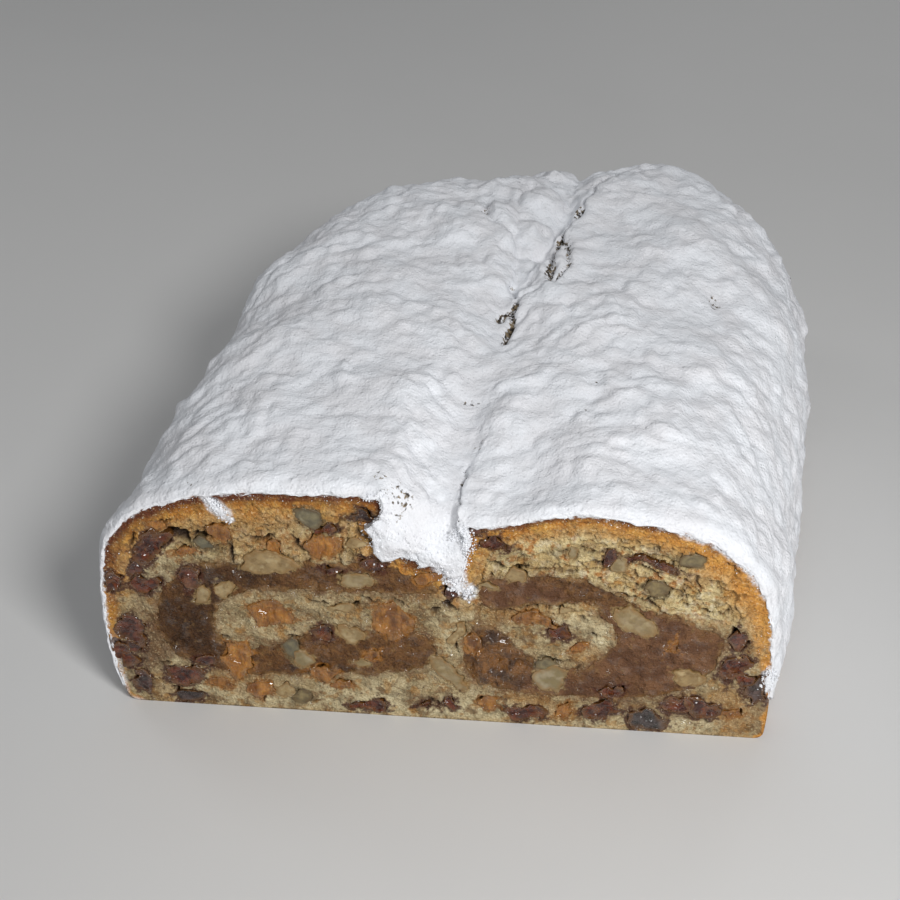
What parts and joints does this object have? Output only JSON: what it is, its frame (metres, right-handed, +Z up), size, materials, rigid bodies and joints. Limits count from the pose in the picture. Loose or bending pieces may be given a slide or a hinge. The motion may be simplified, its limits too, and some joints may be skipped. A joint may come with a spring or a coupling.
{
  "type": "stollen",
  "caption": "Half of a fruit bread under icing sugar, cut across to show two scrolls of nut paste, raisins, almonds and candied peel.",
  "frame": {"origin": "middle of the footprint, on the surface that the loaf stands on", "axes": "+Z up, +Y from the cut face into the loaf, +X to the right seen from the cut"},
  "size_m": [0.159, 0.163, 0.0634],
  "materials": {
    "dough": "pale buttery crumb with a thin brown crust, dry and porous",
    "filling": "brown nut paste, dense and slightly moist",
    "sugar": "thick coat of icing sugar, matt white and finely granular",
    "raisin": "dark red-brown raisin, moist where the knife cut it",
    "almond": "cut almond, ivory and smooth",
    "orange_peel": "candied orange peel, translucent and moist",
    "citron": "candied citron, olive green and translucent"
  },
  "bodies": {
    "root": {"almond_01": "almond", "almond_02": "almond", "almond_03": "almond", "almond_04": "almond", "almond_05": "almond", "almond_06": "almond", "almond_07": "almond", "citron_01": "citron", "citron_02": "citron", "dough": "dough", "filling_left": "filling", "filling_right": "filling", "orange_peel_01": "orange_peel", "orange_peel_02": "orange_peel", "orange_peel_03": "orange_peel", "orange_peel_04": "orange_peel", "orange_peel_05": "orange_peel", "orange_peel_06": "orange_peel", "orange_peel_07": "orange_peel", "raisin_01": "raisin", "raisin_02": "raisin", "raisin_03": "raisin", "raisin_04": "raisin", "raisin_05": "raisin", "raisin_06": "raisin", "raisin_07": "raisin", "raisin_08": "raisin", "raisin_09": "raisin", "raisin_10": "raisin", "raisin_11": "raisin", "raisin_12": "raisin", "raisin_13": "raisin", "raisin_14": "raisin", "raisin_15": "raisin", "raisin_16": "raisin", "raisin_17": "raisin", "sugar_coat": "sugar"}
  },
  "joints": []
}
